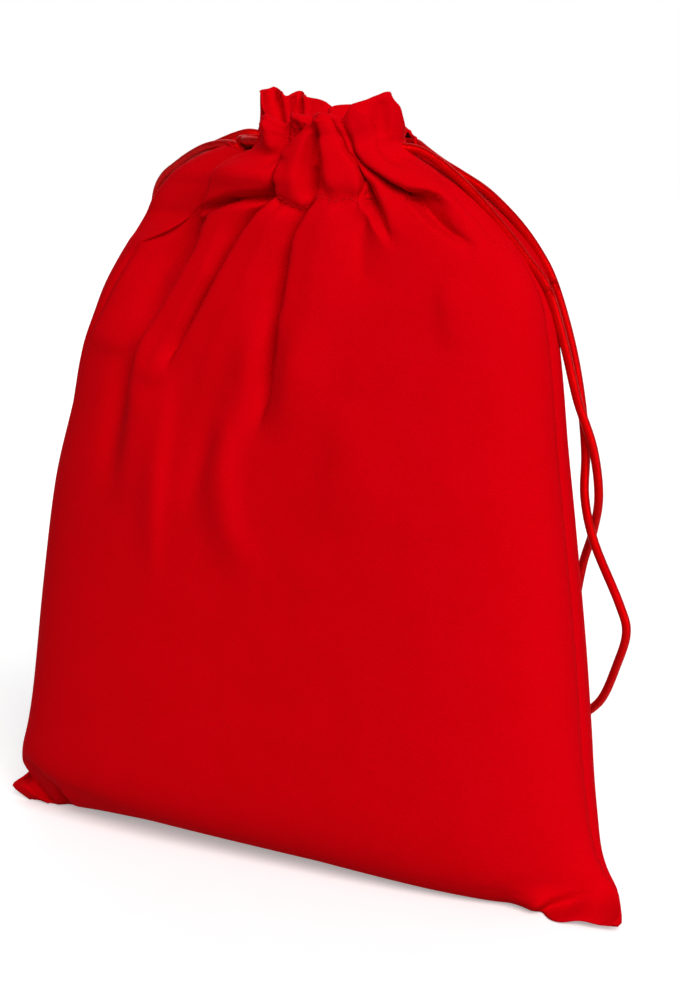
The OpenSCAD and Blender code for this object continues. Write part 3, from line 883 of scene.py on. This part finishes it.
def nominal(z, top):
    """The row that comes to lie at height z."""
    return z if z <= RUFFLE_Z else min(RUFFLE_Z + (z - RUFFLE_Z) * (TOP_Z - RUFFLE_Z) / (top - RUFFLE_Z), TOP_Z)


def lowered(z, top):
    """The height at which a row of the ruffle comes to lie."""
    return RUFFLE_Z + (z - RUFFLE_Z) * (top - RUFFLE_Z) / (TOP_Z - RUFFLE_Z)


def held_heights(side, lines, xs, top):
    """Heights that lines and edges hold over the grid, and where."""
    total, count = np.zeros_like(xs), np.zeros_like(xs)
    for line in lines:
        fine, after = line.samples()
        for sign, column in ((-1, 2), (1, 3)):
            for (x, z), height in zip(fine[:, :2] + sign * line.gap * after, fine[:, column]):
                share = np.interp(x, xs[near_row(z)], SHARES)
                row = near_row(nominal(z, np.interp(share, SHARES, top)))
                place = np.interp(x, xs[row], SHARES * COLUMNS)
                if 0 < place < COLUMNS:
                    cell = row, int(round(place))
                    total[cell] += height
                    count[cell] += 1
    for column in (0, COLUMNS):
        deep = LEFT_DEEP if column == 0 and side == FRONT else EDGE_DEEP
        total[:, column] = np.interp(HEIGHTS, (SLIT_Z, SLIT_Z + EDGE_RISE), (0, deep))
        count[:, column] = 1
    total[HEIGHTS < PLAIN_BELOW], count[HEIGHTS < PLAIN_BELOW] = 0, 1
    return total / np.maximum(count, 1), count > 0


def draw_tight(want, held, gaps, cells):
    """Heights that keep to those held and are even between them."""
    hold = np.where(held, HOLD, 0.0)
    step = np.gradient(HEIGHTS)[:, None]
    across = step / gaps
    up = (cells[1:] + cells[:-1]) / 2 / np.diff(HEIGHTS)[:, None]
    still = hold + step * cells / SLACK ** 2

    def pull(h):
        out = still * h
        d = (h[:, 1:] - h[:, :-1]) * across
        out[:, 1:] += d
        out[:, :-1] -= d
        d = (h[1:] - h[:-1]) * up
        out[1:] += d
        out[:-1] -= d
        return out

    weight = still.copy()
    weight[:, 1:] += across
    weight[:, :-1] += across
    weight[1:] += up
    weight[:-1] += up
    h = want.copy()
    rest = hold * want - pull(h)
    ready = rest / weight
    way, power = ready.copy(), float((rest * ready).sum())
    for _ in range(SOLVE_STEPS):
        pulled = pull(way)
        size = power / float((way * pulled).sum())
        h += size * way
        rest -= size * pulled
        ready = rest / weight
        now = float((rest * ready).sum())
        if now < SOLVED:
            break
        way, power = ready + way * now / power, now
    return h


def relax(h, gaps, cells):
    """Evens out the finest steps of the heights."""
    dz = np.diff(HEIGHTS)[:, None]
    rate = np.minimum(RELAX_RATE, RELAX_MOST * cells[1:-1, 1:-1] ** 2)
    for _ in range(RELAX_TIMES):
        flow = np.diff(h, axis=0) / dz
        up = (flow[1:] - flow[:-1]) / ((dz[1:] + dz[:-1]) / 2)
        across = np.diff(np.diff(h, axis=1) / gaps, axis=1) / cells[:, 1:-1]
        h = h.copy()
        h[1:-1, 1:-1] += rate * (up[:, 1:-1] + across[1:-1])
    return h


def soft_field(xs):
    """Heights of the long soft folds over the grid."""
    total = np.zeros_like(xs)
    z = HEIGHTS[:, None] * np.ones((1, COLUMNS + 1))
    for *points, before, after in SOFT_FOLDS:
        route = curve(points, 12)
        level = abs(route[-1, 0] - route[0, 0]) > abs(route[-1, 1] - route[0, 1])
        best, height, right = np.full_like(xs, np.inf), np.zeros_like(xs), np.zeros_like(xs)
        for (x0, z0, h0), (x1, z1, h1) in zip(route[:-1], route[1:]):
            dx, dz = x1 - x0, z1 - z0
            t = np.clip(((xs - x0) * dx + (z - z0) * dz) / (dx * dx + dz * dz), 0, 1)
            ex, ez = xs - x0 - t * dx, z - z0 - t * dz
            far = ex * ex + ez * ez
            near = far < best
            best = np.where(near, far, best)
            height = np.where(near, h0 + t * (h1 - h0), height)
            right = np.where(near, ez if level else ex, right)
        total += height * np.exp(-best / np.where(right > 0, after, before) ** 2)
    return total


def fold_field(side, lines, top):
    """Heights of a side's folds over the grid, with the grid's x and run."""
    plain = [ring_row(z, side) for z in HEIGHTS]
    xs, run = (np.array([row[i] for row in plain]) for i in (0, 3))
    gaps, cells = np.diff(run, axis=1), np.gradient(run, axis=1)
    h = draw_tight(*held_heights(side, lines, xs, top), gaps, cells)
    # crowns round off, valleys stay sharp
    h = 2 * CROWN * (np.sin(math.pi / 2 * fade(h, -CROWN, CROWN)) - math.sin(math.pi / 4))
    h = relax(h, gaps, cells)
    return (h + soft_field(xs) if side == FRONT else h), xs, run


def lean_field(lines, xs, run, top):
    """How far crowns lean out over the creases beside them, to the right."""
    lean = np.zeros_like(xs)
    for line in lines:
        if not line.lip:
            continue
        p = line.points[np.argsort(line.points[:, 1])]
        for row, z in enumerate(HEIGHTS):
            if z > RUFFLE_Z:
                share = np.interp(np.interp(RUFFLE_Z, p[:, 1], p[:, 0]), xs[row], SHARES)
                z = lowered(z, np.interp(share, SHARES, top))
            if p[0, 1] - LEAN_BELOW < z < p[-1, 1] + LEAN_ABOVE:
                x, before, after = (np.interp(z, p[:, 1], p[:, i]) for i in (0, 2, 3))
                high = 1 if after > before else -1
                d = run[row] - np.interp(x, xs[row], run[row])
                lean[row] -= high * line.lip * abs(after - before) * bell(d - high * LEAN_AT, LEAN_WIDTH)
    return lean


# how far the low cloth lifts over x, at the front and the bottom seam, and comes forward
FRONT_LIFT = [
    (-125, 0), (-120, 8), (-115, 12.4), (-108, 15.2), (-103, 14), (-97, 11.4), (-85, 9.2), (-72, 8.2),
    (-50, 6.8), (20, 4.3), (60, 1.8), (85, 0.7), (97, 1), (105, 0), (125, 0),
]
SEAM_LIFT = [
    (-125, 0), (-95, 0), (-70, 1.5), (-50, 5), (20, 4), (60, 1.6), (85, 0.3), (100, 0), (109, 0), (114, 2.2),
    (119, 0.4), (125, 0),
]
FORWARD = [(-122, 3), (-100, 4), (-80, 0), (88, 0), (97, 5), (105, 14), (111, 14.5), (117, 15), (125, 19)]
LIFT_BELOW, FORWARD_BELOW, RIGHT_SPREAD, LEFT_SPREAD = 50, 10.5, 8, 0.2


def settle(p):
    """The low front lifts toward the left, and the corners turn forward."""
    x, y, z = p[..., 0], p[..., 1], p[..., 2]
    front, seam = at(x, FRONT_LIFT), at(x, SEAM_LIFT)
    toward = fade(-y, 0, np.where(x < -90, 8, 20)) ** 1.3
    lift = (seam + (front - seam) * toward) * fade(y, 20, 0) ** 1.5 * fade(z, LIFT_BELOW, 0) ** 2
    low = ease(fade(z, FORWARD_BELOW, 0))
    right = RIGHT_SPREAD * fade(x, 100, 122) ** 1.5 * low
    left = LEFT_SPREAD * fade(x, -95, -120) * fade(z, 12, 4)
    return np.stack([x + right + left, y - smooth(x, FORWARD) * low, z + lift], axis=-1)


# groove along the side seams
GROOVE_DEEP, GROOVE_WIDTH = 1.3, 1.8
# how deep the back reaches in behind the front, above the slit
LAP_LEFT, LAP_RIGHT, LAP_SHARE, LAP_RISE = 6.2, 2.6, 0.1, 9
# front corners as (x, z): valley over a roll at the right, tuck at the left
CORNER_TOP = 40
VALLEY = [(100, -1.5), (104, 0.6), (106, 2), (110, 3.2), (114, 3.6), (119, 4), (126, 4.8)]
VALLEY_DEEP, VALLEY_WIDTHS = 8.5, (3.2, 1.8)
ROLL_HIGH, ROLL_WIDTH, ROLL_BELOW = 1.5, 2.4, 3.6
TUCK = [(-124, 9), (-117, 7), (-113, 4.5), (-107, 1.5), (-102, -0.5)]
TUCK_DEEP, TUCK_WIDTH = 7, 1.6
BASE_INSET, BASE_HOLLOW = 3, 1.6
# rows round the top edge, their height, and the inner ply's end and spacing
TOP_ROWS, TOP_ROUND, HEM_Z, HEM_STEP = 6, 1.3, 229, 1.6


def corner_folds(x, y, z):
    """Valley and roll at the front's right corner, and tuck at its left."""
    over = z - at(x, VALLEY)
    width = np.where(over > 0, *VALLEY_WIDTHS)
    roll = ROLL_HIGH * bell(over + ROLL_BELOW, ROLL_WIDTH) - VALLEY_DEEP * bell(over, width)
    tuck = TUCK_DEEP * bell(z - at(x, TUCK), TUCK_WIDTH)
    right = fade(x, 98, 107) * fade(x, 128, 122) * fade(y, 0, -5)
    left = fade(x, -98, -106) * fade(x, -124, -121)
    return right * roll - left * tuck


class Side:
    """One side of the bag with its folds."""

    def __init__(self, side):
        self.side = side
        lines = FRONT_LINES if side == FRONT else BACK_LINES
        top = at(ring_row(256.0, side)[0], TOP_EDGE[side])
        self.top = np.convolve(np.pad(top, 3, mode="edge"), np.ones(7) / 7, mode="valid")
        self.field, xs, run = fold_field(side, lines, self.top)
        self.lean = lean_field(lines, xs, run, self.top)

    def row(self, z, inner=0.0):
        """One row of the folded cloth, on the outside or set in by inner."""
        x, y, turn, run = ring_row(z, self.side)
        tx, ty = np.gradient(x), np.gradient(y)
        size = np.hypot(tx, ty)
        tx, ty = tx / size, ty / size
        nx, ny = (ty, -tx) if self.side == FRONT else (-ty, tx)
        out, along = between(self.field, z), between(self.lean, z)
        edge = np.minimum(run, run[-1] - run)
        out = np.where(out < 0, out * at(z, DEEPEN), out)
        out = np.maximum(out, at(z, DEEPEST)) + smooth(z, PUFF) * fade(edge, 0, PUFF_EDGE)
        if z < SLIT_Z:
            out = out - GROOVE_DEEP * bell(edge, GROOVE_WIDTH) * fade(z, SLIT_Z, SLIT_Z - 5) * fade(z, 8, 28)
        if self.side == BACK and z > SLIT_Z:
            left = turn / math.pi - 1, cut(FRONT, 0, z), LAP_LEFT
            right = -turn / math.pi, LAP_SHARE, LAP_RIGHT
            for share, reach, deep in (left, right):
                past = ease(fade(share, 0, reach))
                out = out - deep * past * fade(z, SLIT_Z, SLIT_Z + LAP_RISE)
                if np.any(inner):
                    inner = LEAST_GAP + (inner - LEAST_GAP) * (1 - past)
        if self.side == FRONT and z < CORNER_TOP:
            out = out + corner_folds(x, y, z)
        if np.any(inner):
            out = np.minimum(out * at(z, INNER_FOLDS) - inner, out - LEAST_GAP)
        lift = lowered(z, self.top) if z > RUFFLE_Z else np.full_like(x, z)
        along = along * fade(edge, 0, LEAN_EDGE)
        return settle(np.stack([x + out * nx + along * tx, y + out * ny + along * ty, lift], axis=1))

    def grids(self):
        """Rows from the bottom seam to the top edge, and round it and down the inner ply."""
        foot = self.row(0.0)
        hollow = 1 + BASE_HOLLOW * fade(foot[:, 2], 5, 12)
        outer = []
        for share in BASE_SHARES:
            inset = BASE_INSET * (1 - share) * np.cos(math.pi * (1 - SHARES))
            base = [foot[:, 0] - inset, foot[:, 1] * share ** hollow, foot[:, 2] * share]
            outer.append(np.stack(base, axis=1))
        outer += [self.row(z) for z in HEIGHTS]
        last, first = outer[-1], self.row(TOP_Z, float(at(TOP_Z, GAP)))
        middle = (last + first) / 2
        inner = []
        for k in range(1, TOP_ROWS):
            turn = math.pi * k / TOP_ROWS
            p = middle + (last - middle) * math.cos(turn)
            p[:, 2] += TOP_ROUND * math.sin(turn)
            inner.append(p)
        for z in np.concatenate([np.arange(TOP_Z, HEM_Z, -HEM_STEP), [HEM_Z]]):
            inner.append(self.row(float(z), float(at(z, GAP))))
        return np.array(outer), np.array(inner)


def soften(grid, times):
    """Moves inner points toward the middle of their neighbours."""
    for _ in range(times):
        inner = grid.copy()
        inner[1:-1, 1:-1] = 0.5 * grid[1:-1, 1:-1] + 0.125 * (
            grid[:-2, 1:-1] + grid[2:, 1:-1] + grid[1:-1, :-2] + grid[1:-1, 2:]
        )
        grid = inner
    return grid


PLY = 1.0
SLIT_START, SLIT_END = (0, 0, 0.214), (0, 0, 0.244)


def make_side(side, name, outer, inner):
    """One sheet, outside and inner ply; returns the outer rows."""
    grid = soften(np.concatenate([outer, inner]), 2)
    faces = grid_faces(*grid.shape[:2], flip=side == BACK)
    sheet = mesh_object(f"{name}_cloth", velvet, grid.reshape(-1, 3), faces)
    solid = sheet.modifiers.new("ply", "SOLIDIFY")
    solid.thickness = PLY * MM
    solid.offset = -1
    bpy.context.view_layer.objects.active = sheet
    bpy.ops.object.modifier_apply(modifier=solid.name)
    # nothing goes through the floor
    place = np.zeros(3 * len(sheet.data.vertices), np.float32)
    sheet.data.vertices.foreach_get("co", place)
    place[2::3] = np.maximum(place[2::3], 0)
    sheet.data.vertices.foreach_set("co", place)
    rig.replaces(sheet, f"{name}_panel", f"{name}_flap", f"{name}_hem")
    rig.slot(sheet, "velvet")
    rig.blend(sheet, "pouch", f"{name}_flap", SLIT_START, SLIT_END)
    strands = [f"strand_left_{name}", f"strand_right_{name}"]
    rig.sheet(sheet, flat=(0.25, 0.335), held="gathered", rests_on=strands)
    return grid[: len(outer)]


# Stitch rows as (x, z), and the size of their stitches
STITCHES = {
    FRONT: [
        (-27, 222), (-20, 225.6), (-11, 227.6), (-4.2, 228.4), (2.7, 228.6), (5.2, 230), (10.4, 229),
        (13.5, 227), (18.2, 225.8), (21.4, 227.4), (24.5, 230.2), (27.7, 229.4), (30.1, 228.4), (33.5, 229.4),
        (36, 229.6), (38.6, 228), (42.7, 227.8), (45.8, 229.2), (48.6, 232), (53.6, 231.6), (57.8, 231.2),
        (61.5, 230.2), (64, 228.6),
    ],
    BACK: [(-44, 229.5), (0, 230), (62, 229.5)],
}
THREAD_D, THREAD_SIDES, STITCH, STITCH_GAP, STITCH_SUNK, STITCH_POINTS = 0.45, 8, 2.6, 0.25, 0.16, 7


def make_stitches(grid, side, name):
    """Lockstitches along the bottom of the casing, each a short sunk thread."""
    rows = grid[len(BASE_SHARES):]
    route, line = STITCHES[side], []
    for x in np.arange(route[0][0], route[-1][0], 0.4):
        row = between(rows, at(x, route))
        row = row[np.argsort(row[:, 0])]
        line.append([np.interp(x, row[:, 0], row[:, i]) for i in range(3)])
    line = soften(np.array(line)[:, None].repeat(3, axis=1), 3)[:, 1]
    run = run_along(line)
    normal = np.zeros_like(line)
    d = np.gradient(line, axis=0)
    normal[:, 0], normal[:, 1] = (d[:, 1], -d[:, 0]) if side == FRONT else (-d[:, 1], d[:, 0])
    normal /= np.linalg.norm(normal, axis=1)[:, None]
    lift = STITCH_SUNK * np.sin(np.linspace(0, math.pi, STITCH_POINTS))[:, None] - STITCH_SUNK
    parts = [], [], []
    for k in range(int(run[-1] / STITCH)):
        s = np.linspace(k * STITCH + STITCH_GAP, (k + 1) * STITCH - STITCH_GAP, STITCH_POINTS)
        stitch, out = (np.stack([np.interp(s, run, v[:, i]) for i in range(3)], axis=1) for v in (line, normal))
        stitch += out * lift
        parts = join(parts, tube_parts(stitch, THREAD_D, THREAD_SIDES, len(parts[0]), STITCH_GAP))
    row = mesh_object(f"{name}_stitches", thread, *parts)
    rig.replaces(row, f"{name}_thread")
    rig.slot(row, "thread")
    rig.blend(row, "pouch", f"{name}_flap", SLIT_START, SLIT_END)


for side, name in SIDES:
    make_stitches(make_side(side, name, *Side(side).grids()), side, name)

# Seam allowances on the inside: two plies pressed together, with a wavy overlocked edge
STRIP_WIDE, STRIP_THICK, STRIP_INSET = 7.6, 2.2, 3.2
# half of the section, as shares of the width and the thickness
HALF_SECTION = [(0, 0.5), (0.25, 0.5), (0.5, 0.47), (0.75, 0.47), (0.94, 0.42), (1.0, 0.2)]
SECTION = [(across, -through) for across, through in HALF_SECTION] + HALF_SECTION[::-1]
SEAM_FROM, SEAM_TO, SEAM_ROWS = 46, 206, 88
BOTTOM_HALF, BOTTOM_Z, BOTTOM_ROWS = 97, 1.6, 100


def make_allowance(name, spine, inward):
    points = []
    for i, (p, inner) in enumerate(zip(spine, inward)):
        wide = STRIP_WIDE + 0.35 * math.sin(i * 1.9) + 0.2 * math.sin(i * 0.7)
        sway = 0.5 * math.sin(i * 0.55)
        flat = np.cross(inner, (0, 0, 1.0)) if abs(inner[2]) < 0.5 else np.array((0, 1.0, 0))
        for across, through in SECTION:
            off = STRIP_THICK * through + sway * across * across
            points.append(p + inner * wide * across + flat * off)
    piece = mesh_object(f"{name}_allowance", velvet, points, capped_faces(len(spine), len(SECTION)))
    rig.ride(piece, "pouch")
    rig.replaces(piece, f"{name}_seam")
    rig.slot(piece, "velvet")


def make_side_allowance(name, end, beside):
    """end and beside are the seam and a point near it in a plain row."""
    spine, inward = [], []
    for z in np.linspace(SEAM_FROM, SEAM_TO, SEAM_ROWS):
        x, y = plain_row(z, FRONT)[:2]
        way = np.array((x[end] - x[beside], y[end] - y[beside], 0))
        inner = np.array((way[1], -way[0], 0)) / np.linalg.norm(way)
        if inner[0] * x[end] > 0:
            inner = -inner
        spine.append(np.array((x[end], y[end], z)) + inner * STRIP_INSET)
        inward.append(inner)
    make_allowance(name, spine, inward)


def make_bottom_allowance():
    spine = []
    for x in np.linspace(-BOTTOM_HALF, BOTTOM_HALF, BOTTOM_ROWS):
        spine.append(np.array((x, 0, BOTTOM_Z + float(settle(np.array((x, 0.0, 0.0)))[2]))))
    make_allowance("bottom", spine, [np.array((0, 0, 1.0))] * BOTTOM_ROWS)


make_side_allowance("left", 0, 12)
make_side_allowance("right", -1, -13)
make_bottom_allowance()

# Floor, white surroundings and light
FLOOR_HALF, FLOOR_Z, FLOOR_GLOW, FLOOR_DIM = 3, -0.0002, 0.3, (0.45, 0.45, 0.45, 1)
WHITE, ROOM_STRENGTH = (1, 1, 1, 1), 0.24
# strength, angle across in degrees and direction of each lamp
LAMPS = {"key": (3.15, 44, (-0.6, 0.6, -0.53)), "fill": (1.0, 70, (0.3, -0.88, -0.36))}


def make_floor():
    """A floor that is seen white, but throws back less light than a white one."""
    material, tree, shader = new_material("white_floor")
    grain = tree.noise(tree.add("TexCoord")["Object"], Scale=40, Detail=2)
    path = tree.add("LightPath")
    seen = tree.math("MAXIMUM", path["Is Camera Ray"], path["Is Glossy Ray"])
    tree.set(shader, {
        "Base Color": tree.mix("MIX", seen, FLOOR_DIM, tree.ramp(grain, (0.3, 0.7), greys(0.97, 0.99))),
        "Emission Strength": tree.math("MULTIPLY", seen, FLOOR_GLOW),
        "Emission Color": WHITE, "Roughness": 1, "Specular IOR Level": 0,
    })
    mesh = bpy.data.meshes.new("floor")
    a = FLOOR_HALF
    mesh.from_pydata([(-a, -a, 0), (a, -a, 0), (a, a, 0), (-a, a, 0)], [], [(0, 1, 2, 3)])
    mesh.materials.append(material)
    floor = add_object("floor", mesh)
    floor.location = (0, 0, FLOOR_Z)
    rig.stage(floor)


def make_room():
    """White surroundings that light the bag more weakly than they are seen."""
    scene.world = bpy.data.worlds.new("white_room")
    tree = Tree(scene.world)
    room = tree.set(tree.nodes["Background"], {"Color": WHITE, "Strength": ROOM_STRENGTH})[0]
    seen = tree.add("Background", Color=WHITE, Strength=1)[0]
    camera = tree.add("LightPath")["Is Camera Ray"]
    pick = tree.set(tree.new("MixShader"), {0: camera, 1: room, 2: seen})[0]
    tree.set(tree.nodes["World Output"], {"Surface": pick})


def make_lamps():
    for name, (energy, angle, ray) in LAMPS.items():
        light = bpy.data.lights.new(name, "SUN")
        light.energy = energy
        light.angle = math.radians(angle)
        add_object(name, light).rotation_euler = Vector(ray).to_track_quat("-Z", "Y").to_euler()


make_floor()
make_room()
make_lamps()
scene.view_settings.view_transform = "Standard"

with open("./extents.json", "w") as out:
    json.dump({"cad": cad_box, "visual": [list(corner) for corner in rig.bounds()]}, out)
